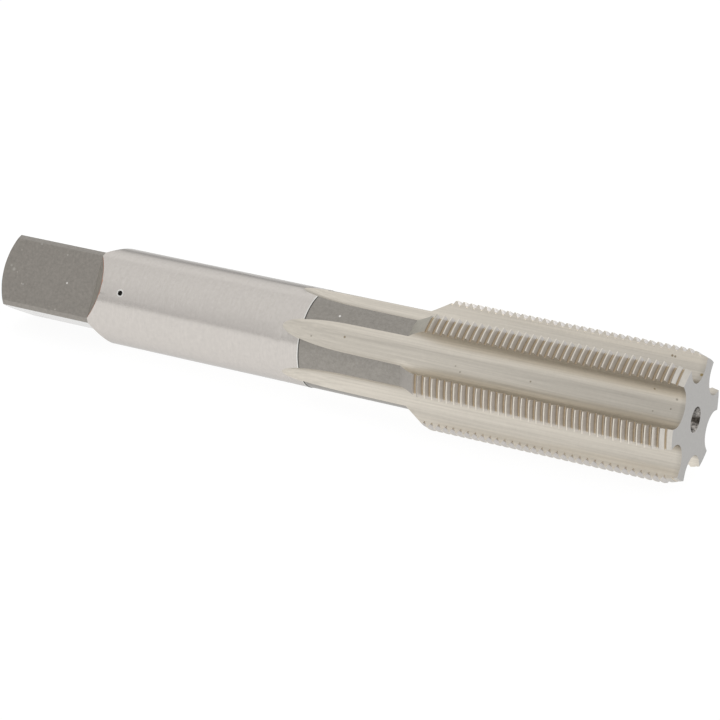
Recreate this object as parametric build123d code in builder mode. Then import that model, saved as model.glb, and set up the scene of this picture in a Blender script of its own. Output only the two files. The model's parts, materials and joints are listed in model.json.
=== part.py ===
from build123d import *
import os
from math import acos, atan2, ceil, cos, degrees, hypot, radians, sin, tan

os.makedirs("parts", exist_ok=True)

# A hand tap with straight flutes and a fine right-hand thread, ground from one bar of high-speed steel.
# It is modelled standing on its square end, with its axis on Z and its cutting end up, and is laid down last.
# Lengths are millimetres and angles are degrees. Turns about the axis are measured from X toward Y.

# Bar
overall_length = 102.4
shank_diameter = 13.44
neck_diameter = 13.32
neck_length = 15.2

# Square drive
side_count = 4
across_flats = 10.08
square_length = 15.2
square_turn = 61.9
shoulder_angle = 41
end_face_diameter = 9.5
end_chamfer_angle = 30

# Thread, from the foot of its back bevel to the tip
thread_length = 38.7
thread_diameter = 17.46
threads_per_inch = 24
thread_angle = 60
crest_width = 0.25
bevel_angle = 32
lead_length = 2.36
lead_angle = 18.2
crest_lag = 0.05

# Flutes
flute_count = 6
flute_half_angle = 20.2
core_diameter = 10.1
core_taper = 0.75
flute_length = 47.1
wheel_radius = 50

# Centre holes
centre_diameter = 3.4
centre_angle = 60
pilot_diameter = 1.3
pilot_depth = 3.6

# The thread's form follows its pitch: a flat crest, and flanks that meet in a sharp root
inch = 25.4
thread_pitch = inch / threads_per_inch
flank_slope = tan(radians(thread_angle / 2))
thread_depth = (thread_pitch - crest_width) / 2 / flank_slope
sharp_rise = crest_width / 2 / flank_slope

shank_radius = shank_diameter / 2
neck_radius = neck_diameter / 2
thread_radius = thread_diameter / 2
core_radius = core_diameter / 2
end_face_radius = end_face_diameter / 2
crown_length = (shank_radius - end_face_radius) * tan(radians(end_chamfer_angle))
crown_centre = (shank_radius**2 + crown_length**2 - end_face_radius**2) / 2 / crown_length
crown_radius = hypot(end_face_radius, crown_centre)
thread_start = overall_length - thread_length
bevel_length = (thread_radius - neck_radius) / tan(radians(bevel_angle))
neck_start = thread_start - neck_length
tip_radius = thread_radius - lead_length * tan(radians(lead_angle))
flute_pitch_angle = 360 / flute_count
clearance = 1.0

# The square's cutter: one flat and the slope by which it runs out into the round shank
with BuildPart() as flat_cutter:
    flat_distance = across_flats / 2
    outer_distance = shank_radius + clearance
    slope_top = square_length + (outer_distance - flat_distance) / tan(radians(shoulder_angle))
    with BuildSketch(Plane.XZ):
        with BuildLine():
            Polyline(
                (flat_distance, -clearance),
                (outer_distance, -clearance),
                (outer_distance, slope_top),
                (flat_distance, square_length),
                close=True,
            )
        make_face()
    extrude(amount=shank_radius, both=True)

# The square end's cutter leaves a slightly crowned chamfer
with BuildPart() as crown_cutter:
    Cylinder(
        radius=shank_radius + clearance,
        height=crown_length,
        align=(Align.CENTER, Align.CENTER, Align.MIN),
    )
    with Locations((0, 0, crown_centre)):
        Sphere(crown_radius, mode=Mode.SUBTRACT)

# The flute's round bottom is a slender cone that touches both of the flute's radial sides all along it.
# The cone's point and the sides' common line are on the tool's axis, beyond the tip, where the core would vanish.
half_angle = radians(flute_half_angle)
taper = radians(core_taper)
axis_tilt = atan2(sin(taper), cos(taper) - sin(half_angle))
cone_slope = tan(axis_tilt - taper)
seat_tilt = atan2(tan(axis_tilt) * cos(half_angle) ** 2, 1)
cone_point = Vector(0, 0, overall_length + core_radius / tan(taper))
cone_heading = Vector(sin(axis_tilt), 0, -cos(axis_tilt))
outward = Vector(cos(axis_tilt), 0, sin(axis_tilt))
near_distance = (cone_point.Z - overall_length - clearance) / cos(axis_tilt)
far_distance = (cone_point.Z - overall_length + flute_length) / cos(axis_tilt)
far_radius = far_distance * cone_slope
far_centre = cone_point + cone_heading * far_distance

with BuildPart() as flute_cutter:
    with Locations(Plane(origin=far_centre, z_dir=cone_heading * -1)):
        Cone(
            bottom_radius=far_radius,
            top_radius=near_distance * cone_slope,
            height=far_distance - near_distance,
            align=(Align.CENTER, Align.CENTER, Align.MIN),
        )

    # Where the wheel was lifted out, it left its own curve in the bar
    wheel_centre = far_centre + outward * (wheel_radius - far_radius)
    lift = shank_radius + clearance - (wheel_centre.X - wheel_radius * cos(axis_tilt))
    lift_angle = degrees(acos(cos(axis_tilt) - lift / wheel_radius) - axis_tilt)
    with BuildSketch(Plane(origin=far_centre, x_dir=(0, 1, 0), z_dir=cone_heading)):
        Circle(far_radius)
    revolve(axis=Axis(wheel_centre, (0, -1, 0)), revolution_arc=lift_angle)

# Above the cone the flute's sides are flat and lie on the tool's axis
with BuildPart() as side_cutter:
    reach = thread_radius * 2
    with BuildSketch(Plane.XY.offset(thread_start)):
        with BuildLine():
            Polyline(
                (0, 0),
                (reach * cos(half_angle), -reach * sin(half_angle)),
                (reach * cos(half_angle), reach * sin(half_angle)),
                close=True,
            )
        make_face()
    extrude(amount=thread_length + clearance)
    split(bisect_by=Plane(origin=cone_point, x_dir=(0, 1, 0), z_dir=(cos(seat_tilt), 0, sin(seat_tilt))))

# The thread's cutter for one land: a comb of grooves whose flanks meet in sharp points clear of the blank.
# It has a groove to spare at each end, for the climb from land to land.
with BuildPart() as thread_comb:
    comb_top = overall_length + thread_pitch - crest_lag
    groove_count = ceil((comb_top - thread_start) / thread_pitch) + 1
    sharp_radius = thread_radius + sharp_rise
    root_radius = thread_radius - thread_depth
    points = [(sharp_radius, comb_top)]
    for groove in range(groove_count):
        groove_top = comb_top - groove * thread_pitch
        points.append((root_radius, groove_top - thread_pitch / 2))
        points.append((sharp_radius, groove_top - thread_pitch))
    comb_bottom = comb_top - groove_count * thread_pitch
    with BuildSketch(Plane.XZ):
        with BuildLine():
            Polyline(
                *points,
                (sharp_radius + clearance, comb_bottom),
                (sharp_radius + clearance, comb_top),
                close=True,
            )
        make_face()
    revolve(axis=Axis.Z, revolution_arc=flute_pitch_angle)

# The tap: turned, squared, fluted, threaded land by land, and drilled at both ends
with BuildPart() as ground_tap:
    with BuildSketch(Plane.XZ):
        with BuildLine():
            Polyline(
                (0, 0),
                (shank_radius, 0),
                (shank_radius, neck_start),
                (neck_radius, neck_start),
                (neck_radius, thread_start),
                (thread_radius, thread_start + bevel_length),
                (thread_radius, overall_length - lead_length),
                (tip_radius, overall_length),
                (0, overall_length),
                close=True,
            )
        make_face()
    revolve(axis=Axis.Z)
    add(crown_cutter.part, mode=Mode.SUBTRACT)

    with PolarLocations(0, side_count, start_angle=square_turn):
        add(flat_cutter.part, mode=Mode.SUBTRACT)

    with PolarLocations(0, flute_count):
        add(flute_cutter.part, mode=Mode.SUBTRACT)
        add(side_cutter.part, mode=Mode.SUBTRACT)

    # Each comb spans from the middle of one flute to the next, and the thread climbs from land to land
    for land in range(flute_count):
        climb = thread_pitch * (land + 0.5) / flute_count
        with Locations(Location((0, 0, climb), (0, 0, flute_pitch_angle * land))):
            add(thread_comb.part, mode=Mode.SUBTRACT)

    for face_z, turn_over in ((overall_length, 0), (0, 180)):
        with Locations(Location((0, 0, face_z), (turn_over, 0, 0))):
            CounterSinkHole(
                radius=pilot_diameter / 2,
                counter_sink_radius=centre_diameter / 2,
                depth=pilot_depth,
                counter_sink_angle=centre_angle,
            )

# At rest the tap touches the table at the back of two lands and at one corner of the square, tip raised
land_drop = thread_radius * cos(half_angle)
corner_swing = degrees(acos(across_flats / shank_diameter))
side_angle = 360 / side_count
corner_drop = shank_radius * max(
    cos(radians(square_turn + side_angle * side + swing))
    for side in range(side_count)
    for swing in (-corner_swing, corner_swing)
)
support_span = thread_start + bevel_length - crown_length
rest_tilt = degrees(atan2(land_drop - corner_drop, support_span))

lying = ground_tap.part.rotate(Axis.Y, 90 - rest_tilt)
lying_box = lying.bounding_box()

with BuildPart() as thread_tap:
    with Locations((-lying_box.center().X, 0, -lying_box.min.Z)):
        add(lying)

thread_tap.part.label = "thread_tap"
export_step(thread_tap.part, "parts/thread_tap.step")
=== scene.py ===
import bpy
import json
import numpy as np
from math import radians
from mathutils import Matrix, Vector


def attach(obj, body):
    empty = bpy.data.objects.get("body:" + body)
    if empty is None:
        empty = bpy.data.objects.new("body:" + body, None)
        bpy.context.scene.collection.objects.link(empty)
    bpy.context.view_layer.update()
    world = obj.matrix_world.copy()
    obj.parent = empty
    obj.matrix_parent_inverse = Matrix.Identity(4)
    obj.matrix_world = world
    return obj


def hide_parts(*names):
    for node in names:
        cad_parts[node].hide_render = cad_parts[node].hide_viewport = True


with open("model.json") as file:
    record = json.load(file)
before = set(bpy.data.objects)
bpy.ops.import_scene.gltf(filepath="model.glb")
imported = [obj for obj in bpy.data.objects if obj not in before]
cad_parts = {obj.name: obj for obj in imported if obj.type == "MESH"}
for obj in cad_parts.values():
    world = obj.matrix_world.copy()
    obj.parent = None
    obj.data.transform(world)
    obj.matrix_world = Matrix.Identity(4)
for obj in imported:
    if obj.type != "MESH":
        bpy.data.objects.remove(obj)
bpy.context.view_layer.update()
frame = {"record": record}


# The bar
# The tap is ground from one bar of high-speed steel, turned to a shank and a slightly thinner neck,
# with a bevel up to the thread and a short lead at the tip. It lies with its tip raised a little.

# Sizes are millimetres and angles are degrees, in the tap's own frame: Z runs from the square end
# to the tip, and turns are measured about it. The mounts of the two centre holes say how it lies.
mm_per_m = 1000
mounts = {mount["name"]: mount for mount in frame["record"]["mounts"]}
square_end = Vector(mounts["square_end_centre"]["pos_m"])
tip_end = Vector(mounts["tip_centre"]["pos_m"])
tap_heading = (tip_end - square_end).normalized()
overall_length = (tip_end - square_end).length * mm_per_m
rest_tilt = np.arcsin(tap_heading.z)
rest_turn = Matrix.Rotation(np.arccos(tap_heading.z), 3, Vector((0, 0, 1)).cross(tap_heading))

shank_radius = 6.72
neck_radius = 6.66
neck_length = 15.2
thread_length = 38.7
thread_radius = 8.73
bevel_angle = 32
lead_length = 2.36
lead_angle = 18.2
thread_start = overall_length - thread_length
bevel_length = (thread_radius - neck_radius) / np.tan(radians(bevel_angle))
neck_start = thread_start - neck_length
neck_step = shank_radius - neck_radius
tip_radius = thread_radius - lead_length * np.tan(radians(lead_angle))


def blank_radius(z):
    """The turned bar's radius at height z.

    From the square these are the shank, one short step down to the neck, the bevel up to the thread
    and the lead at the tip.
    """
    stations = [0, neck_start, neck_start + neck_step, thread_start, thread_start + bevel_length,
                overall_length - lead_length, overall_length]
    radii = [shank_radius, shank_radius, neck_radius, neck_radius, thread_radius,
             thread_radius, tip_radius]
    return np.interp(z, stations, radii)


gloss_spread = 0.15


def steel(name, colour, roughness, grain_scale, grain_depth, mottle, marks=(), bloom=0,
          speckle_share=0.4):
    """Bare steel, whose tone, gloss and bump follow noise stretched along the way it was ground.

    The grain's scales are waves per millimetre along the tap, across it and up. An even speckle
    makes up speckle_share of the tone, and the mottle says how far the tone swings from the colour.
    Each mark is a small round spot: its height and turn on the tap, its distance from the axis, its
    radius, and its colour. The bloom is a thin glossy film over the metal, which brightens it where
    it is seen edge on.
    """
    material = bpy.data.materials.new(name)
    material.use_nodes = True
    nodes, links = material.node_tree.nodes, material.node_tree.links
    shader = nodes["Principled BSDF"]
    shader.inputs["Metallic"].default_value = 1
    shader.inputs["Specular Tint"].default_value = (0.75, 0.75, 0.75, 1)
    shader.inputs["Coat Weight"].default_value = bloom
    shader.inputs["Coat Roughness"].default_value = 0.12
    place = nodes.new("ShaderNodeTexCoord")
    lay = nodes.new("ShaderNodeMapping")
    lay.inputs["Rotation"].default_value = (0, rest_tilt, 0)
    lay.inputs["Scale"].default_value = (mm_per_m, mm_per_m, mm_per_m)
    links.new(place.outputs["Object"], lay.inputs["Vector"])
    stretch = nodes.new("ShaderNodeMapping")
    stretch.inputs["Scale"].default_value = grain_scale
    links.new(lay.outputs["Vector"], stretch.inputs["Vector"])
    grain = nodes.new("ShaderNodeTexNoise")
    grain.inputs["Scale"].default_value = 1
    grain.inputs["Detail"].default_value = 5
    grain.inputs["Roughness"].default_value = 0.65
    links.new(stretch.outputs["Vector"], grain.inputs["Vector"])
    speckle = nodes.new("ShaderNodeTexNoise")
    speckle.inputs["Scale"].default_value = 2.2
    speckle.inputs["Detail"].default_value = 4
    links.new(lay.outputs["Vector"], speckle.inputs["Vector"])
    blend = nodes.new("ShaderNodeMix")
    blend.inputs["Factor"].default_value = speckle_share
    links.new(grain.outputs["Fac"], blend.inputs["A"])
    links.new(speckle.outputs["Fac"], blend.inputs["B"])
    spread = nodes.new("ShaderNodeMapRange")
    spread.inputs["From Min"].default_value = 0.35
    spread.inputs["From Max"].default_value = 0.65
    links.new(blend.outputs["Result"], spread.inputs["Value"])
    tone = nodes.new("ShaderNodeMix")
    tone.data_type = "RGBA"
    tone.inputs["A"].default_value = (*[channel * (1 - mottle) for channel in colour], 1)
    tone.inputs["B"].default_value = (*[channel * (1 + mottle) for channel in colour], 1)
    links.new(spread.outputs["Result"], tone.inputs["Factor"])
    surface = tone.outputs["Result"]
    for z, turn, from_axis, size, mark_colour in marks:
        x, y = from_axis * np.cos(radians(turn)), from_axis * np.sin(radians(turn))
        away = nodes.new("ShaderNodeVectorMath")
        away.operation = "DISTANCE"
        away.inputs[1].default_value = square_end + rest_turn @ Vector((x, y, z)) / mm_per_m
        links.new(place.outputs["Object"], away.inputs[0])
        spot = nodes.new("ShaderNodeMapRange")
        spot.inputs["From Min"].default_value = size / mm_per_m
        spot.inputs["From Max"].default_value = size / 2 / mm_per_m
        links.new(away.outputs["Value"], spot.inputs["Value"])
        over = nodes.new("ShaderNodeMix")
        over.data_type = "RGBA"
        over.inputs["B"].default_value = (*mark_colour, 1)
        links.new(spot.outputs["Result"], over.inputs["Factor"])
        links.new(surface, over.inputs["A"])
        surface = over.outputs["Result"]
    links.new(surface, shader.inputs["Base Color"])
    gloss = nodes.new("ShaderNodeMapRange")
    gloss.inputs["To Min"].default_value = roughness * (1 - gloss_spread)
    gloss.inputs["To Max"].default_value = roughness * (1 + gloss_spread)
    links.new(grain.outputs["Fac"], gloss.inputs["Value"])
    links.new(gloss.outputs["Result"], shader.inputs["Roughness"])
    bump = nodes.new("ShaderNodeBump")
    bump.inputs["Strength"].default_value = grain_depth
    bump.inputs["Distance"].default_value = 0.00002
    links.new(grain.outputs["Fac"], bump.inputs["Height"])
    links.new(bump.outputs["Normal"], shader.inputs["Normal"])
    return material


def tint(material, attribute, stops):
    """Multiply a material's colour by a ramp of (position, colour) stops over a mesh attribute."""
    nodes, links = material.node_tree.nodes, material.node_tree.links
    read = nodes.new("ShaderNodeAttribute")
    read.attribute_name = attribute
    ramp = nodes.new("ShaderNodeValToRGB")
    for position, colour in stops[1:-1]:
        ramp.color_ramp.elements.new(position).color = (*colour, 1)
    ramp.color_ramp.elements[0].color = (*stops[0][1], 1)
    ramp.color_ramp.elements[-1].color = (*stops[-1][1], 1)
    links.new(read.outputs["Fac"], ramp.inputs["Fac"])
    dye = nodes.new("ShaderNodeMix")
    dye.data_type = "RGBA"
    dye.blend_type = "MULTIPLY"
    dye.inputs["Factor"].default_value = 1
    base = nodes["Principled BSDF"].inputs["Base Color"]
    links.new(base.links[0].from_socket, dye.inputs["A"])
    links.new(ramp.outputs["Color"], dye.inputs["B"])
    links.new(dye.outputs["Result"], base)
    return material


# The flutes
# Six straight grooves, ground along the cutting end by a round-edged wheel. The core rises toward
# the shank, and where the wheel was lifted out each flute ends in a long pointed tongue.

flute_count = 6
half_angle = 20.2
core_radius = 5.05
core_taper = 0.75
flute_length = 47.1
wheel_radius = 50

# Columns run round the tap. Each sixth of them climbs one flute's bottom and wall, crosses the land
# and comes down again.
arc_steps = 8
wall_steps = 2
land_steps = 6
sector_steps = 2 * arc_steps + 2 * wall_steps + land_steps
column_count = flute_count * sector_steps
column = np.arange(column_count)
step = column % sector_steps
sector = column // sector_steps
from_flute = np.minimum(step, sector_steps - step)
arc_share = np.clip(from_flute / arc_steps, 0, 1)
wall_share = np.clip((from_flute - arc_steps) / wall_steps, 0, 1)
land_share = np.clip((step - arc_steps - wall_steps) / land_steps, 0, 1)
rising = np.where(step <= sector_steps // 2, 1, -1)
sector_angle = 360 / flute_count
taper = radians(core_taper)
runout = overall_length - flute_length
runout_bottom = core_radius + flute_length * np.tan(taper)


def flute_bottom(z):
    """Distance of the flute's bottom from the axis at height z.

    From the tip it is a straight rise toward the shank, and from the run-out the arc that the wheel
    left.
    """
    straight = core_radius + (overall_length - z) * np.tan(taper)
    along = runout + wheel_radius * np.sin(taper) - z
    inside = np.maximum(wheel_radius ** 2 - along ** 2, 0)
    arc = runout_bottom + wheel_radius * np.cos(taper) - np.sqrt(inside)
    return np.where(z > runout, straight, arc)


def fluted_section(z, outside):
    """Radius and turn of every column at height z, where outside is the bar's radius there.

    The flute's bottom is a circle that touches two lines through the axis, half_angle to each side.
    Its points are taken at equal steps of the circle's own angle, up to the line or the outside,
    whichever comes first. Above that the wall follows the line outward, and the land spans what is
    left of the sixth.
    """
    z = np.broadcast_to(z, np.broadcast_shapes(np.shape(z), (column_count,)))
    outside = np.broadcast_to(outside, z.shape)
    spread = np.sin(radians(half_angle))
    bottom = flute_bottom(z)
    circle = flute_bottom(np.maximum(z, runout)) * spread / (1 - spread)
    centre = bottom + circle
    touch = np.sqrt(centre ** 2 - circle ** 2)
    arc_end = np.clip(np.minimum(outside, touch), bottom, None)
    cosine = (centre ** 2 + circle ** 2 - arc_end ** 2) / (2 * centre * circle)
    swing = np.arccos(np.clip(cosine, -1, 1))
    across = circle * np.sin(swing * arc_share)
    up = centre - circle * np.cos(swing * arc_share)
    edge = np.degrees(np.arctan2(circle * np.sin(swing), centre - circle * np.cos(swing)))
    open_flute = outside > bottom
    edge = np.where(open_flute, edge, 0)
    on_arc = np.where(open_flute, np.hypot(across, up), outside)
    radius = np.where(wall_share > 0, arc_end + (outside - arc_end) * wall_share, on_arc)
    radius = np.where(open_flute, radius, outside)
    from_centre = np.where(wall_share > 0, edge, np.degrees(np.arctan2(across, up)) * open_flute)
    on_side = np.where(rising > 0, from_centre, sector_angle - from_centre)
    on_land = edge + (sector_angle - 2 * edge) * land_share
    turn = sector_angle * sector + np.where(wall_share < 1, on_side, on_land)
    return radius, turn


# Each flute's colour carries painted light: a painted brightening or darkening of its own, a
# painted highlight on one side, and painted shade on its bottom toward the tip. The lists go
# through the flutes from turn 0 on. The painted highlight starts a given number of columns from the
# flute's middle, and the painted shade toward the tip ends a given number of columns from it.
flute_index = (column + sector_steps // 2) // sector_steps % flute_count
flute_painted_level = np.array([0.95, 0.95, 1, 1.08, 0.98, 1.04])[flute_index]
blur_steps = 1.5
highlight_steps = 4
side_painted_highlight = np.array([0.2, 0.2, 0.2, 0.5, 0.4, 0.08])[flute_index] * (rising > 0)
side_painted_highlight = side_painted_highlight * np.clip((from_flute - highlight_steps) / blur_steps, 0, 1)
shaded_steps = np.array([3.5, 3.5, 3.5, 8, 3.5, 8])[flute_index]
tip_painted_shade = np.array([0.1, 0.1, 0.12, 0.22, 0.2, 0.09])[flute_index]
tip_painted_shade = tip_painted_shade * np.clip((shaded_steps - from_flute) / blur_steps, 0, 1)
highlight_start, highlight_blur = 62, 5
tip_shade_start, tip_shade_blur = 66, 32
rim_width, rim_blur, rim_painted_shade = 0.8, 0.6, 0.15
brightest_tone = 1.5


def flute_painted_light(z):
    """Brightness of every column at height z.

    It is the flute's painted brightness, plus the side's painted highlight, less the painted shade
    toward the tip and at the tip's rim.
    """
    highlighted = np.clip((z - highlight_start) / highlight_blur, 0, 1)
    tip_shaded = np.clip((z - tip_shade_start) / tip_shade_blur, 0, 1)
    rim = np.clip((z - overall_length + rim_width) / rim_blur, 0, 1)
    return flute_painted_level + side_painted_highlight * highlighted - tip_painted_shade * tip_shaded - rim_painted_shade * rim


# Small dark spots: height, turn, distance from the axis, radius and colour
flute_marks = [
    (49.9, 245.8, 6.13, 0.15, (0.55, 0.5, 0.42)), (54.5, 237.7, 5.69, 0.2, (0.48, 0.4, 0.28)),
    (71.8, 250.9, 5.77, 0.17, (0.58, 0.53, 0.44)), (70.9, 244.5, 5.51, 0.15, (0.62, 0.57, 0.48)),
    (81.5, 243.6, 5.35, 0.16, (0.52, 0.46, 0.36)), (98.2, 221.5, 6.33, 0.18, (0.52, 0.44, 0.3)),
    (101.2, 226.1, 5.59, 0.2, (0.54, 0.5, 0.42)), (100.6, 239.5, 5.07, 0.15, (0.52, 0.48, 0.4)),
    (98.4, 247.5, 5.23, 0.14, (0.58, 0.53, 0.44)), (97.7, 159.8, 7.37, 0.2, (0.4, 0.32, 0.22)),
    (98.1, 159.8, 7.32, 0.18, (0.42, 0.36, 0.26)), (102.2, 164.6, 5.74, 0.28, (0.55, 0.42, 0.2)),
]
flute_steel = steel("ground_flutes", (0.94, 0.875, 0.77), 0.36, (0.05, 3.6, 3.6), 0.45, 0.1,
                    flute_marks, speckle_share=0.15)
# The flutes' colour is multiplied by their painted light and shade
tint(flute_steel, "flute_painted_light", [(0, (0, 0, 0)), (1, (1, 1, 1))])


# The square
# The drive end is ground to four flats for a tap wrench. Each runs out by a slope into the round
# shank, with a heat-browned edge, and the end is chamfered. The square keeps a duller grey than the
# ground shank.

side_count = 4
flat_distance = 5.04
square_length = 15.2
square_turn = 61.9
shoulder_angle = 41
end_face_radius = 4.75
end_chamfer_angle = 30
side_angle = 360 / side_count
crown_length = (shank_radius - end_face_radius) * np.tan(radians(end_chamfer_angle))
crown_centre = (shank_radius ** 2 + crown_length ** 2 - end_face_radius ** 2) / 2 / crown_length
crown_radius = np.hypot(end_face_radius, crown_centre)

side_steps = column_count // side_count
corner_steps = 9
flat_steps = side_steps - corner_steps

# A flat's outermost columns lie close beside its edges, at this share of its width
edge_share = 0.018
first_flat = round((square_turn - side_angle / 2) / 360 * column_count)
side_column = (column - first_flat) % column_count
side = side_column // side_steps
side_step = side_column % side_steps
flat_share = np.interp(side_step, [0, 1, flat_steps - 1, flat_steps],
                       [0, edge_share, 1 - edge_share, 1])
corner_share = np.clip((side_step - flat_steps) / corner_steps, 0, 1)
on_flat = side_step < flat_steps


def square_section(distance):
    """Radius and turn of every column where the flats lie at this distance from the axis.

    A point of a flat is as far from the axis as that distance over the cosine of its turn from the
    flat's middle. The corners between the flats keep the shank's radius.
    """
    distance = np.reshape(distance, (-1, 1)) * np.ones(column_count)
    half = np.arccos(distance / shank_radius)
    corner_swing = corner_share * (radians(side_angle) - 2 * half)
    swing = np.arctan(np.tan(half) * (2 * flat_share - 1)) + corner_swing
    lap = np.where(column < first_flat, 360, 0)
    turn = square_turn + side_angle * side + np.degrees(swing) - lap
    radius = np.minimum(distance / np.cos(swing), shank_radius)
    return np.where(corner_share > 0, shank_radius, radius), turn


# The chamfer is slightly crowned, part of a sphere centred on the axis. Its last ring follows flats
# and corners.
crown_row_count = 6
flat_row_count = 10
square_radius, flats_turn = square_section(flat_distance)
crown_share = np.linspace(0, 1, crown_row_count)[:, None]
crown_ring = end_face_radius + (square_radius - end_face_radius) * crown_share
crown_z = crown_centre - np.sqrt(crown_radius ** 2 - crown_ring ** 2)
flat_rows = np.linspace(0, 1, flat_row_count)[1:, None]
flat_z = crown_z[-1] + (square_length - crown_z[-1]) * flat_rows

# The slope's rows stop just short of its tip, so that the columns stay apart there
slope_gap = 0.08
slope_row_count = 10
run_per_rise = 1 / np.tan(radians(shoulder_angle))
slope_distance = np.linspace(flat_distance, shank_radius - slope_gap, slope_row_count)[1:]
slope_z = (square_length + (slope_distance - flat_distance) * run_per_rise)[:, None]
slope_radius, slope_turn = square_section(slope_distance)
shoulder_top = square_length + (shank_radius - flat_distance) * run_per_rise

# The slope is browned at its edge, where it lies least under the shank's surface, and grey from
# about a quarter of this depth on
tint_depth = 0.6
slope_steel = steel("streaked_slope", (0.64, 0.6, 0.53), 0.45, (5, 0.15, 0.15), 0.5, 0.25,
                    bloom=0.6, speckle_share=0.3)
tint(slope_steel, "under_shank", [
    (0, (0.98, 0.52, 0.4)), (0.2, (0.98, 0.52, 0.4)),
    (0.28, (0.78, 0.78, 0.78)), (1, (0.78, 0.78, 0.78))])
flat_marks = [
    (9.65, 206.7, 6.16, 0.16, (0.42, 0.4, 0.36)), (10.7, 245.3, 5.05, 0.17, (0.8, 0.78, 0.74)),
    (3.55, 260.5, 5.32, 0.15, (0.45, 0.42, 0.37)), (2.4, 244.7, 5.05, 0.14, (0.4, 0.37, 0.33)),
    (2.2, 211.8, 5.81, 0.15, (0.38, 0.35, 0.31)), (9.9, 282, 6.59, 0.15, (0.45, 0.42, 0.38)),
    (1.75, 241.3, 5.04, 0.3, (0.4, 0.38, 0.34)), (5.15, 201.4, 6.63, 0.2, (0.36, 0.34, 0.31)),
    (3.8, 261, 5.34, 0.2, (0.36, 0.34, 0.31)), (1.2, 236, 5.07, 0.22, (0.38, 0.36, 0.32)),
]
flats_steel = steel("dull_flats", (0.275, 0.253, 0.224), 0.4, (3, 3, 3), 0.3, 0.14,
                    flat_marks, bloom=1)


# The dimple
# A hardness tester left one small round dent in the shank, with a slightly raised rim.

dimple_radius = 0.35
dimple_depth = 0.4
dimple_rim = 0.012
dimple_z = 20.3
dimple_turn = 244.1

# In dimple radii: the rim's highest line, its spread, its end, and how far the fine rows reach
rim_place, rim_spread, rim_end = 1.15, 0.15, 1.5
rows_reach = 1.6
dimple_row_count = 21
dimple_rows = dimple_z + dimple_radius * np.linspace(-rows_reach, rows_reach, dimple_row_count)
near_z = np.concatenate([[shoulder_top, (shoulder_top + dimple_z) / 2], dimple_rows])[:, None]
near_turn = slope_turn[-1] * np.ones_like(near_z)
around = np.radians(near_turn - dimple_turn) * shank_radius
dent = np.hypot(around, near_z - dimple_z) / dimple_radius
raised = dimple_rim * np.exp(-((dent - rim_place) / rim_spread) ** 2)
hollow = dimple_depth * np.clip(1 - dent ** 2, 0, None) - raised
near_radius = shank_radius - hollow
# The dent is coloured almost black as painted shade, and its raised rim takes the bright ring
# finish, a painted highlight
dimple_shade_steel = steel("dimple_painted_shade", (0.04, 0.038, 0.034), 0.5, (3, 3, 3), 0.3, 0.2)


# The shank and neck
# The plain part between the square and the thread. Its columns turn gradually from the square's
# layout to the flutes', and its rows crowd toward the flutes' pointed ends.

# A tongue ends where the wheel's arc comes up through the shank
sweep = wheel_radius * np.cos(taper) - (shank_radius - runout_bottom)
tongue_end = runout + wheel_radius * np.sin(taper) - np.sqrt(wheel_radius ** 2 - sweep ** 2)
plain_row_count = 16
plain_z = np.linspace(near_z[-1, 0], tongue_end, plain_row_count)[1:, None]
plain_share = (plain_z - near_z[-1]) / (tongue_end - near_z[-1])
blend = plain_share ** 2 * (3 - 2 * plain_share)
flutes_turn = fluted_section(tongue_end, shank_radius)[1]
plain_turn = near_turn[-1] + (flutes_turn - near_turn[-1]) * blend
plain_radius = np.full_like(plain_turn, shank_radius)

ring_width = 0.14
tongue_row_count = 14
neck_row_count = 24
crowding = np.linspace(0, 1, tongue_row_count)[1:] ** 2
tongue_rows = tongue_end + (neck_start - ring_width - tongue_end) * crowding
tongue_z = np.append(tongue_rows, neck_start)[:, None]
tongue_radius, tongue_turn = fluted_section(tongue_z, shank_radius)
neck_rows = np.linspace(neck_start + ring_width, thread_start, neck_row_count)
neck_z = np.insert(neck_rows, 0, neck_start + neck_step)[:, None]
neck_surface, neck_turn = fluted_section(neck_z, neck_radius)

shank_steel = steel("ground_shank", (0.615, 0.58, 0.545), 0.2, (9, 0.5, 0.5), 0.3, 0.05)
neck_marks = [(53.2, 215.5, 6.66, 0.2, (0.8, 0.78, 0.74))]
neck_steel = steel("dull_neck", (0.31, 0.29, 0.262), 0.4, (4, 4, 4), 0.35, 0.14,
                   neck_marks, bloom=0.3)
# Painted highlight: a near-white finish for the dimple's raised rim and a thin band of the shank
# just short of the neck step
ring_highlight_steel = steel("ring_painted_highlight", (0.8, 0.79, 0.76), 0.3, (2, 2, 2), 0.2, 0.05)
# Painted shade on the neck's side of the step, lifted to full brightness only where it turns to the
# tap's upper back
step_shade_steel = steel("step_painted_shade", (0.5, 0.48, 0.44), 0.5, (3, 3, 3), 0.3, 0.2)
tint(step_shade_steel, "painted_light_side", [
    (0, (0.24, 0.24, 0.24)), (0.86, (0.24, 0.24, 0.24)), (0.95, (1, 1, 1)), (1, (1, 1, 1))])


# The thread
# A fine right-hand thread, ground on the six lands after fluting. The crests are narrow flats with
# a painted highlight, and the teeth at the bevel and in the lead are cut down to the bar's own
# outline.

inch = 25.4
threads_per_inch = 24
pitch = inch / threads_per_inch
crest_width = 0.14
root_width = 0.1
thread_angle = 60
first_crest_lead = 0.04
flank = np.tan(radians(thread_angle / 2))
sharp_radius = thread_radius + crest_width / 2 / flank
root_edge = pitch / 2 - root_width / 2
root_radius = sharp_radius - root_edge / flank

# Each row follows the helix across the lands, and slips back by one pitch along the bottom of the
# first flute
sector_start = np.arange(flute_count)[:, None] * sector_steps
edge_steps = [0, wall_steps, wall_steps + land_steps, 2 * wall_steps + land_steps]
knots = (sector_start + arc_steps + edge_steps).ravel()
land_sides = [half_angle, sector_angle - half_angle]
land_edges = (sector_angle * np.arange(flute_count)[:, None] + land_sides).ravel()
climb = np.interp(column, knots, pitch / 360 * np.repeat(land_edges, 2), period=column_count)

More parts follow.
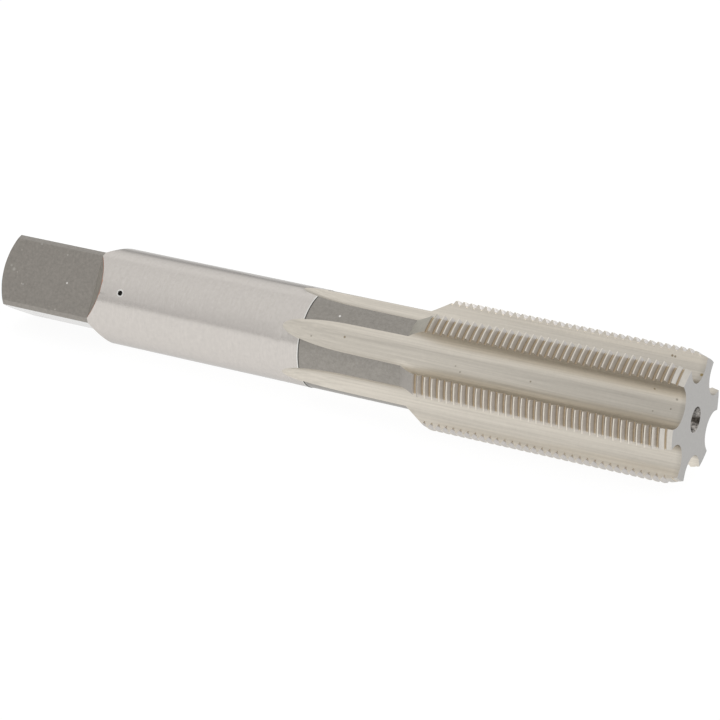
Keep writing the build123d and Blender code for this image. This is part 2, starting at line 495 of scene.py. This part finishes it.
# Eight rows to a pitch: the root's middle and edge, the flank's middle, the crest's edge and
# middle, and the same again in the other order. Where the bar's outline cuts a tooth down, the
# crest is wider, and its edge is found by stepping toward it. Each step leaves about a third of the
# error.
rows_per_pitch = 8
crest_row = rows_per_pitch // 2
refinement_count = 9
turn_count = int(np.ceil(thread_length / pitch)) + 2
first_crest_z = overall_length + first_crest_lead - pitch * np.arange(turn_count)[::-1]
crest_z = first_crest_z[:, None, None] + climb
thread_row = np.arange(rows_per_pitch)[None, :, None]
direction = np.sign(thread_row - crest_row)
thread_z = crest_z + direction * root_edge
rows_from_crest = np.abs(thread_row - crest_row) * np.ones_like(thread_z, int)
for _ in range(refinement_count):
    cut_half = (sharp_radius - blank_radius(thread_z)) * flank
    crest_half = np.clip(cut_half, crest_width / 2, root_edge)
    flank_middle = (crest_half + root_edge) / 2
    offset = np.choose(rows_from_crest, [0, crest_half, flank_middle, root_edge, pitch / 2])
    thread_z = crest_z + direction * offset
groove = np.clip(sharp_radius - offset / flank, root_radius, thread_radius)
thread_z = np.clip(thread_z, thread_start, overall_length).reshape(-1, column_count)
ground = np.minimum(blank_radius(thread_z), groove.reshape(-1, column_count))
thread_surface, thread_turn = fluted_section(thread_z, ground)

# Both flanks of the grooves are tinted tan, more those that face the shank. On the lower of the two
# lands in front the tint lies more on those that face the tip.
lower_land = 4
film = np.array([0, 0.5, 0.8, 0.2, 0, 0.25, 0.25, 0.1])[thread_row]
tan_on_lower_land = np.array([0, 0.15, 0.3, 0.2, 0, 0.55, 0.6, 0.3])[thread_row]
tan_of_pitch = np.where(sector == lower_land, tan_on_lower_land, film)[0]
thread_tan = np.tile(tan_of_pitch, (turn_count, 1))

thread_steel = steel("ground_thread", (0.9, 0.87, 0.82), 0.3, (2, 2, 2), 0.2, 0.06)
# Painted light down the grooves: a painted highlight on the crests, a dark line of painted shade
# low on the flanks, a lighter tan band near the root, and painted shade at the root
tint(thread_steel, "groove_depth", [
    (0, (0.82, 0.8, 0.77)), (0.05, (0.68, 0.67, 0.66)), (0.2, (0.66, 0.66, 0.69)),
    (0.5, (0.67, 0.67, 0.7)), (0.68, (0.67, 0.66, 0.68)), (0.74, (0.49, 0.47, 0.46)),
    (0.8, (0.56, 0.53, 0.49)), (0.87, (0.74, 0.69, 0.61)), (0.93, (0.84, 0.77, 0.65)),
    (1, (0.53, 0.47, 0.4))])
tint(thread_steel, "flank_tan", [(0, (1, 1, 1)), (0.6, (1, 0.97, 0.9)), (1, (1, 0.92, 0.74))])
bevel_steel = steel("ground_bevel", (0.55, 0.525, 0.46), 0.45, (4, 4, 4), 0.3, 0.08)
# Painted shade: the bevel is cooler and darker on the side turned away from the tap's upper back
tint(bevel_steel, "painted_light_side", [
    (0, (0.74, 0.73, 0.77)), (0.29, (0.74, 0.73, 0.77)), (0.79, (1, 1, 1)), (1, (1, 1, 1))])
lead_steel = steel("ground_lead", (0.6, 0.57, 0.52), 0.35, (3, 0.3, 0.3), 0.3, 0.08)

# The thread took nothing off a face that lies this near the bar's outline. The bevel's look goes a
# little way past its top.
uncut_limit = 0.001
bevel_overrun = 0.3


# The centre holes
# A 60 degree countersink with a small pilot hole in each end. The tap was held on them while it was
# ground.

rim_radius = 1.7
mid_radius = 1.1
pilot_radius = 0.65
centre_angle = 60
pilot_depth = 3.6
drill_angle = 118
cone_depth = (rim_radius - pilot_radius) / np.tan(radians(centre_angle / 2))
drill_tip = pilot_radius / np.tan(radians(drill_angle / 2))
even_turn = 360 * column / column_count
mid_depth = cone_depth * (rim_radius - mid_radius) / (rim_radius - pilot_radius)

# From the bottom up: the drill's point, the pilot's wall in two rows of faces, and the cone in two
hole_radius = np.array([0, pilot_radius, pilot_radius, pilot_radius,
                        mid_radius, rim_radius])[:, None]
hole_depth = np.array([pilot_depth + drill_tip, pilot_depth, (pilot_depth + cone_depth) / 2,
                       cone_depth, mid_depth, 0])[:, None]
face_ring_count = 7
face_share = np.linspace(0, 1, face_ring_count)[1:-1, None]


def face_between(radius_a, turn_a, radius_b, turn_b):
    """Rings on a flat end, evenly spaced on straight lines from outline a to outline b."""
    xa, ya = radius_a * np.cos(np.radians(turn_a)), radius_a * np.sin(np.radians(turn_a))
    xb, yb = radius_b * np.cos(np.radians(turn_b)), radius_b * np.sin(np.radians(turn_b))
    x, y = xa + (xb - xa) * face_share, ya + (yb - ya) * face_share
    lap = np.round((turn_a + (turn_b - turn_a) * face_share - np.degrees(np.arctan2(y, x))) / 360)
    return np.hypot(x, y), np.degrees(np.arctan2(y, x)) + 360 * lap


rim = np.full(column_count, rim_radius)
square_face = face_between(rim, even_turn, crown_ring[0], flats_turn[0])
tip_face = face_between(thread_surface[-1], thread_turn[-1], rim, even_turn)
end_steel = steel("cut_ends", (0.46, 0.45, 0.435), 0.35, (3, 3, 3), 0.25, 0.06)
# Painted shade and painted glints in the countersinks: dark about a quarter turn from the tap's
# upper back on either side, lighter toward the upper back and toward the lower front
hole_steel = steel("centre_holes", (0.5, 0.47, 0.44), 0.25, (4.5, 4.5, 4.5), 1, 0.98)
tint(hole_steel, "painted_light_side", [
    (0, (0.6, 0.6, 0.6)), (0.3, (0.55, 0.54, 0.53)), (0.42, (0.12, 0.11, 0.1)),
    (0.6, (0.14, 0.13, 0.12)), (0.75, (0.46, 0.46, 0.46)), (1, (0.5, 0.5, 0.5))])
# The pilots are coloured almost black as painted shade
pilot_shade_steel = steel("pilot_painted_shade", (0.03, 0.028, 0.026), 0.5, (3, 3, 3), 0.3, 0.3)


# The whole surface
# All zones are stacked into one grid of rings, from the bottom of one centre hole to the bottom of
# the other. Then points that fall together are joined and faces without area are left out.

finishes = {
    "shank": shank_steel, "flats": flats_steel, "slope": slope_steel, "dimple": dimple_shade_steel,
    "ring": ring_highlight_steel, "step": step_shade_steel, "pilot": pilot_shade_steel, "neck": neck_steel,
    "flute": flute_steel, "bevel": bevel_steel, "lead": lead_steel, "thread": thread_steel,
    "end": end_steel, "hole": hole_steel,
}
number = {name: index for index, name in enumerate(finishes)}
zones = {
    "square hole": (hole_radius, even_turn, hole_depth, "hole"),
    "square face": (*square_face, 0, "end"),
    "crown": (crown_ring, flats_turn, crown_z, "flats"),
    "square": (square_radius, flats_turn, flat_z, "flats"),
    "slope": (slope_radius, slope_turn, slope_z, "shank"),
    "dimpled": (near_radius, near_turn, near_z, "shank"),
    "plain": (plain_radius, plain_turn, plain_z, "shank"),
    "tongues": (tongue_radius, tongue_turn, tongue_z, "shank"),
    "neck": (neck_surface, neck_turn, neck_z, "neck"),
    "thread": (thread_surface, thread_turn, thread_z, "thread"),
    "tip face": (*tip_face, overall_length, "end"),
    "tip hole": (hole_radius[::-1], even_turn, overall_length - hole_depth[::-1], "hole"),
}
radius_rows, turn_rows, z_rows, zone_finish, first_row, end_row = [], [], [], [], {}, {}
for zone, (zone_radius, zone_turn, zone_z, finish_name) in zones.items():
    shape = np.broadcast_shapes(np.shape(zone_radius), np.shape(zone_turn), np.shape(zone_z),
                                (1, column_count))
    radius_rows.append(np.broadcast_to(zone_radius, shape))
    turn_rows.append(np.broadcast_to(zone_turn, shape))
    z_rows.append(np.broadcast_to(zone_z, shape))
    first_row[zone] = len(zone_finish)
    zone_finish += [number[finish_name]] * shape[0]
    end_row[zone] = len(zone_finish)
radius = np.concatenate(radius_rows)
turn = np.radians(np.concatenate(turn_rows))
height = np.concatenate(z_rows)
row_count = len(radius)

points = np.stack([radius * np.cos(turn), radius * np.sin(turn), height], -1).reshape(-1, 3)
row, col = np.meshgrid(np.arange(row_count - 1), column, indexing="ij")
next_col = (col + 1) % column_count
corners = np.stack([row * column_count + col, row * column_count + next_col,
                    (row + 1) * column_count + next_col, (row + 1) * column_count + col], -1)
triangles = np.concatenate([corners[..., [0, 1, 2]], corners[..., [0, 2, 3]]], -1).reshape(-1, 3)

# A face takes its zone's finish. Then the slopes, the dimple with its painted shade and its rim
# with a painted highlight, the painted highlight beside the step and the step's painted shade, the
# bevel, the lead, the flutes and the pilots with their painted shade take theirs.
zone_finish = np.array(zone_finish)
finish = np.where(zone_finish[1:] == number["hole"], zone_finish[:-1], zone_finish[1:])
finish = np.repeat(finish[:, None], column_count, axis=1)
face_z = points[corners.reshape(-1, 4), 2].mean(1).reshape(finish.shape)
finish[first_row["slope"] - 1:end_row["slope"], on_flat] = number["slope"]
face_dent = (dent[:-1] + dent[1:] + np.roll(dent[:-1] + dent[1:], -1, axis=1)) / 4
dimpled_finish = finish[first_row["dimpled"]:end_row["dimpled"] - 1]
dimpled_finish[face_dent < 1] = number["dimple"]
dimpled_finish[(face_dent > 1) & (face_dent < rim_end)] = number["ring"]
finish[(face_z > neck_start - ring_width) & (face_z < neck_start)] = number["ring"]
finish[(face_z > neck_start) & (face_z < neck_start + ring_width)] = number["step"]
uncut = blank_radius(height) - radius < uncut_limit
face_uncut = uncut[:-1] & uncut[1:] & np.roll(uncut[:-1] & uncut[1:], -1, axis=1)
on_thread = finish == number["thread"]
on_bevel = face_z < thread_start + bevel_length + bevel_overrun
on_lead = face_z > overall_length - lead_length
finish[on_thread & face_uncut & on_bevel] = number["bevel"]
finish[on_thread & face_uncut & on_lead] = number["lead"]
flute_column = (wall_share < 1) | (np.roll(wall_share, -1) < 1)
past_tongues = (face_z > tongue_end) & (finish != number["end"]) & (finish != number["hole"])
finish[flute_column & past_tongues] = number["flute"]
pilot_rows = 3
finish[:pilot_rows] = finish[-pilot_rows:] = number["pilot"]
triangle_finish = np.repeat(finish.ravel(), 2)

weld_decimals = 5
unique_points, first_use, welded = np.unique(
    np.round(points, weld_decimals), axis=0, return_index=True, return_inverse=True)
triangles = welded.ravel()[triangles]
a, b, c = triangles.T
solid = (a != b) & (b != c) & (c != a)
triangles, triangle_finish = triangles[solid], triangle_finish[solid]

placed = unique_points @ np.array(rest_turn).T / mm_per_m + np.array(square_end)

mesh = bpy.data.meshes.new("ground_tap")
mesh.from_pydata(placed, [], triangles)
mesh.polygons.foreach_set("material_index", triangle_finish.astype(np.int32))
mesh.polygons.foreach_set("use_smooth", np.ones(len(triangles), bool))

# The tints' attributes run from 0 to 1: how deep a point lies in the thread, which sets the crests'
# painted highlight and the roots' painted shade, how much tan tint lies on it, its flute's painted
# light, how far it is turned to the tap's upper back, which sets the painted light and shade on the
# step, the bevel and the holes, and how deep it lies under the shank's surface
upper_turn = 155
flank_tan = np.zeros_like(radius)
flank_tan[first_row["thread"]:end_row["thread"]] = thread_tan
attributes = {
    "groove_depth": np.clip((thread_radius - radius) / (thread_radius - root_radius), 0, 1),
    "flank_tan": flank_tan,
    "flute_painted_light": flute_painted_light(height) / brightest_tone,
    "painted_light_side": (1 + np.cos(turn - radians(upper_turn))) / 2,
    "under_shank": np.clip((shank_radius - radius) / tint_depth, 0, 1),
}
for attribute_name, values in attributes.items():
    attribute = mesh.attributes.new(attribute_name, "FLOAT", "POINT")
    attribute.data.foreach_set("value", values.ravel()[first_use].astype(np.float32))
for material in finishes.values():
    mesh.materials.append(material)
mesh.update()
sharp_angle = 28
mesh.set_sharp_from_angle(angle=radians(sharp_angle))

ground_tap = bpy.data.objects.new("ground_tap", mesh)
bpy.context.scene.collection.objects.link(ground_tap)
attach(ground_tap, "root")
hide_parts("thread_tap")


# The floor, the light and the camera
# The tap lies on a plain white sweep in a light tent. The camera looks down on it from the side of
# its tip.

floor_mesh = bpy.data.meshes.new("floor")
floor_reach = 3
floor_corners = [(-floor_reach, -floor_reach, 0), (floor_reach, -floor_reach, 0),
                 (floor_reach, floor_reach, 0), (-floor_reach, floor_reach, 0)]
floor_mesh.from_pydata(floor_corners, [], [(0, 1, 2, 3)])
floor = bpy.data.objects.new("floor", floor_mesh)
bpy.context.scene.collection.objects.link(floor)
floor_material = bpy.data.materials.new("white_paper")
floor_material.use_nodes = True
paper = floor_material.node_tree.nodes["Principled BSDF"]
paper.inputs["Base Color"].default_value = (0.1, 0.1, 0.1, 1)
paper.inputs["Roughness"].default_value = 0.9
paper.inputs["Specular IOR Level"].default_value = 0
paper.inputs["Emission Color"].default_value = (1, 1, 1, 1)
paper.inputs["Emission Strength"].default_value = 0.94
floor_mesh.materials.append(floor_material)

# The tent is bright overhead and dimmer in a leaning belt where its side stops short of the table
world = bpy.data.worlds.new("tent")
bpy.context.scene.world = world
world.use_nodes = True
nodes, links = world.node_tree.nodes, world.node_tree.links
aim = nodes.new("ShaderNodeTexCoord")
tent_top = (0.322, -0.179, 0.93)
lift = nodes.new("ShaderNodeVectorMath")
lift.operation = "DOT_PRODUCT"
lift.inputs[1].default_value = tent_top
links.new(aim.outputs["Generated"], lift.inputs[0])
share = nodes.new("ShaderNodeMapRange")
share.inputs["From Min"].default_value = -1
links.new(lift.outputs["Value"], share.inputs["Value"])
cloth = nodes.new("ShaderNodeValToRGB")
for position, brightness in ((0.37, 0.88), (0.44, 0.5), (0.505, 0.55), (0.54, 0.72),
                             (0.585, 0.79), (0.68, 0.83), (0.8, 0.9)):
    cloth.color_ramp.elements.new(position).color = (brightness, brightness, brightness, 1)
cloth.color_ramp.elements[0].color = (0.9, 0.9, 0.9, 1)
cloth.color_ramp.elements[-1].color = (0.95, 0.95, 0.95, 1)
links.new(share.outputs["Result"], cloth.inputs["Fac"])
links.new(cloth.outputs["Color"], nodes["Background"].inputs["Color"])

# A soft panel behind the tap, at the square end's side, lifts the shank's upper edge and the top
# flute
lamp = bpy.data.lights.new("back_panel", "AREA")
lamp.size = 0.8
lamp.energy = 0.3
panel = bpy.data.objects.new("back_panel", lamp)
panel.location = (-0.66, 0.95, 0.8)
panel.rotation_euler = (-panel.location).to_track_quat("-Z", "Y").to_euler()
bpy.context.scene.collection.objects.link(panel)

# A low bright card stands straight behind the tap, a little to the tip's side
card_light = bpy.data.lights.new("back_card", "AREA")
card_light.shape = "RECTANGLE"
card_light.size = 0.5
card_light.size_y = 0.24
card_light.energy = 0.9
card = bpy.data.objects.new("back_card", card_light)
card.location = (0.25, 1.0, 0.13)
card.rotation_euler = (-card.location).to_track_quat("-Z", "Y").to_euler()
card.visible_camera = False
bpy.context.scene.collection.objects.link(card)

camera_azimuth = 26.7075
camera_elevation = 21.7785
camera_roll = 3.1795
camera_place = (0.16136, -0.31433, 0.14664)
camera_data = bpy.data.cameras.new("camera")
camera_data.sensor_width = 36
camera_data.lens = 141.3763
camera_data.clip_start = 0.01
camera = bpy.data.objects.new("camera", camera_data)
camera_turn = (Matrix.Rotation(radians(camera_azimuth), 4, "Z")
               @ Matrix.Rotation(radians(90 - camera_elevation), 4, "X")
               @ Matrix.Rotation(radians(camera_roll), 4, "Z"))
camera.matrix_world = Matrix.Translation(camera_place) @ camera_turn
bpy.context.scene.collection.objects.link(camera)
bpy.context.scene.camera = camera
bpy.context.scene.view_settings.view_transform = "Standard"
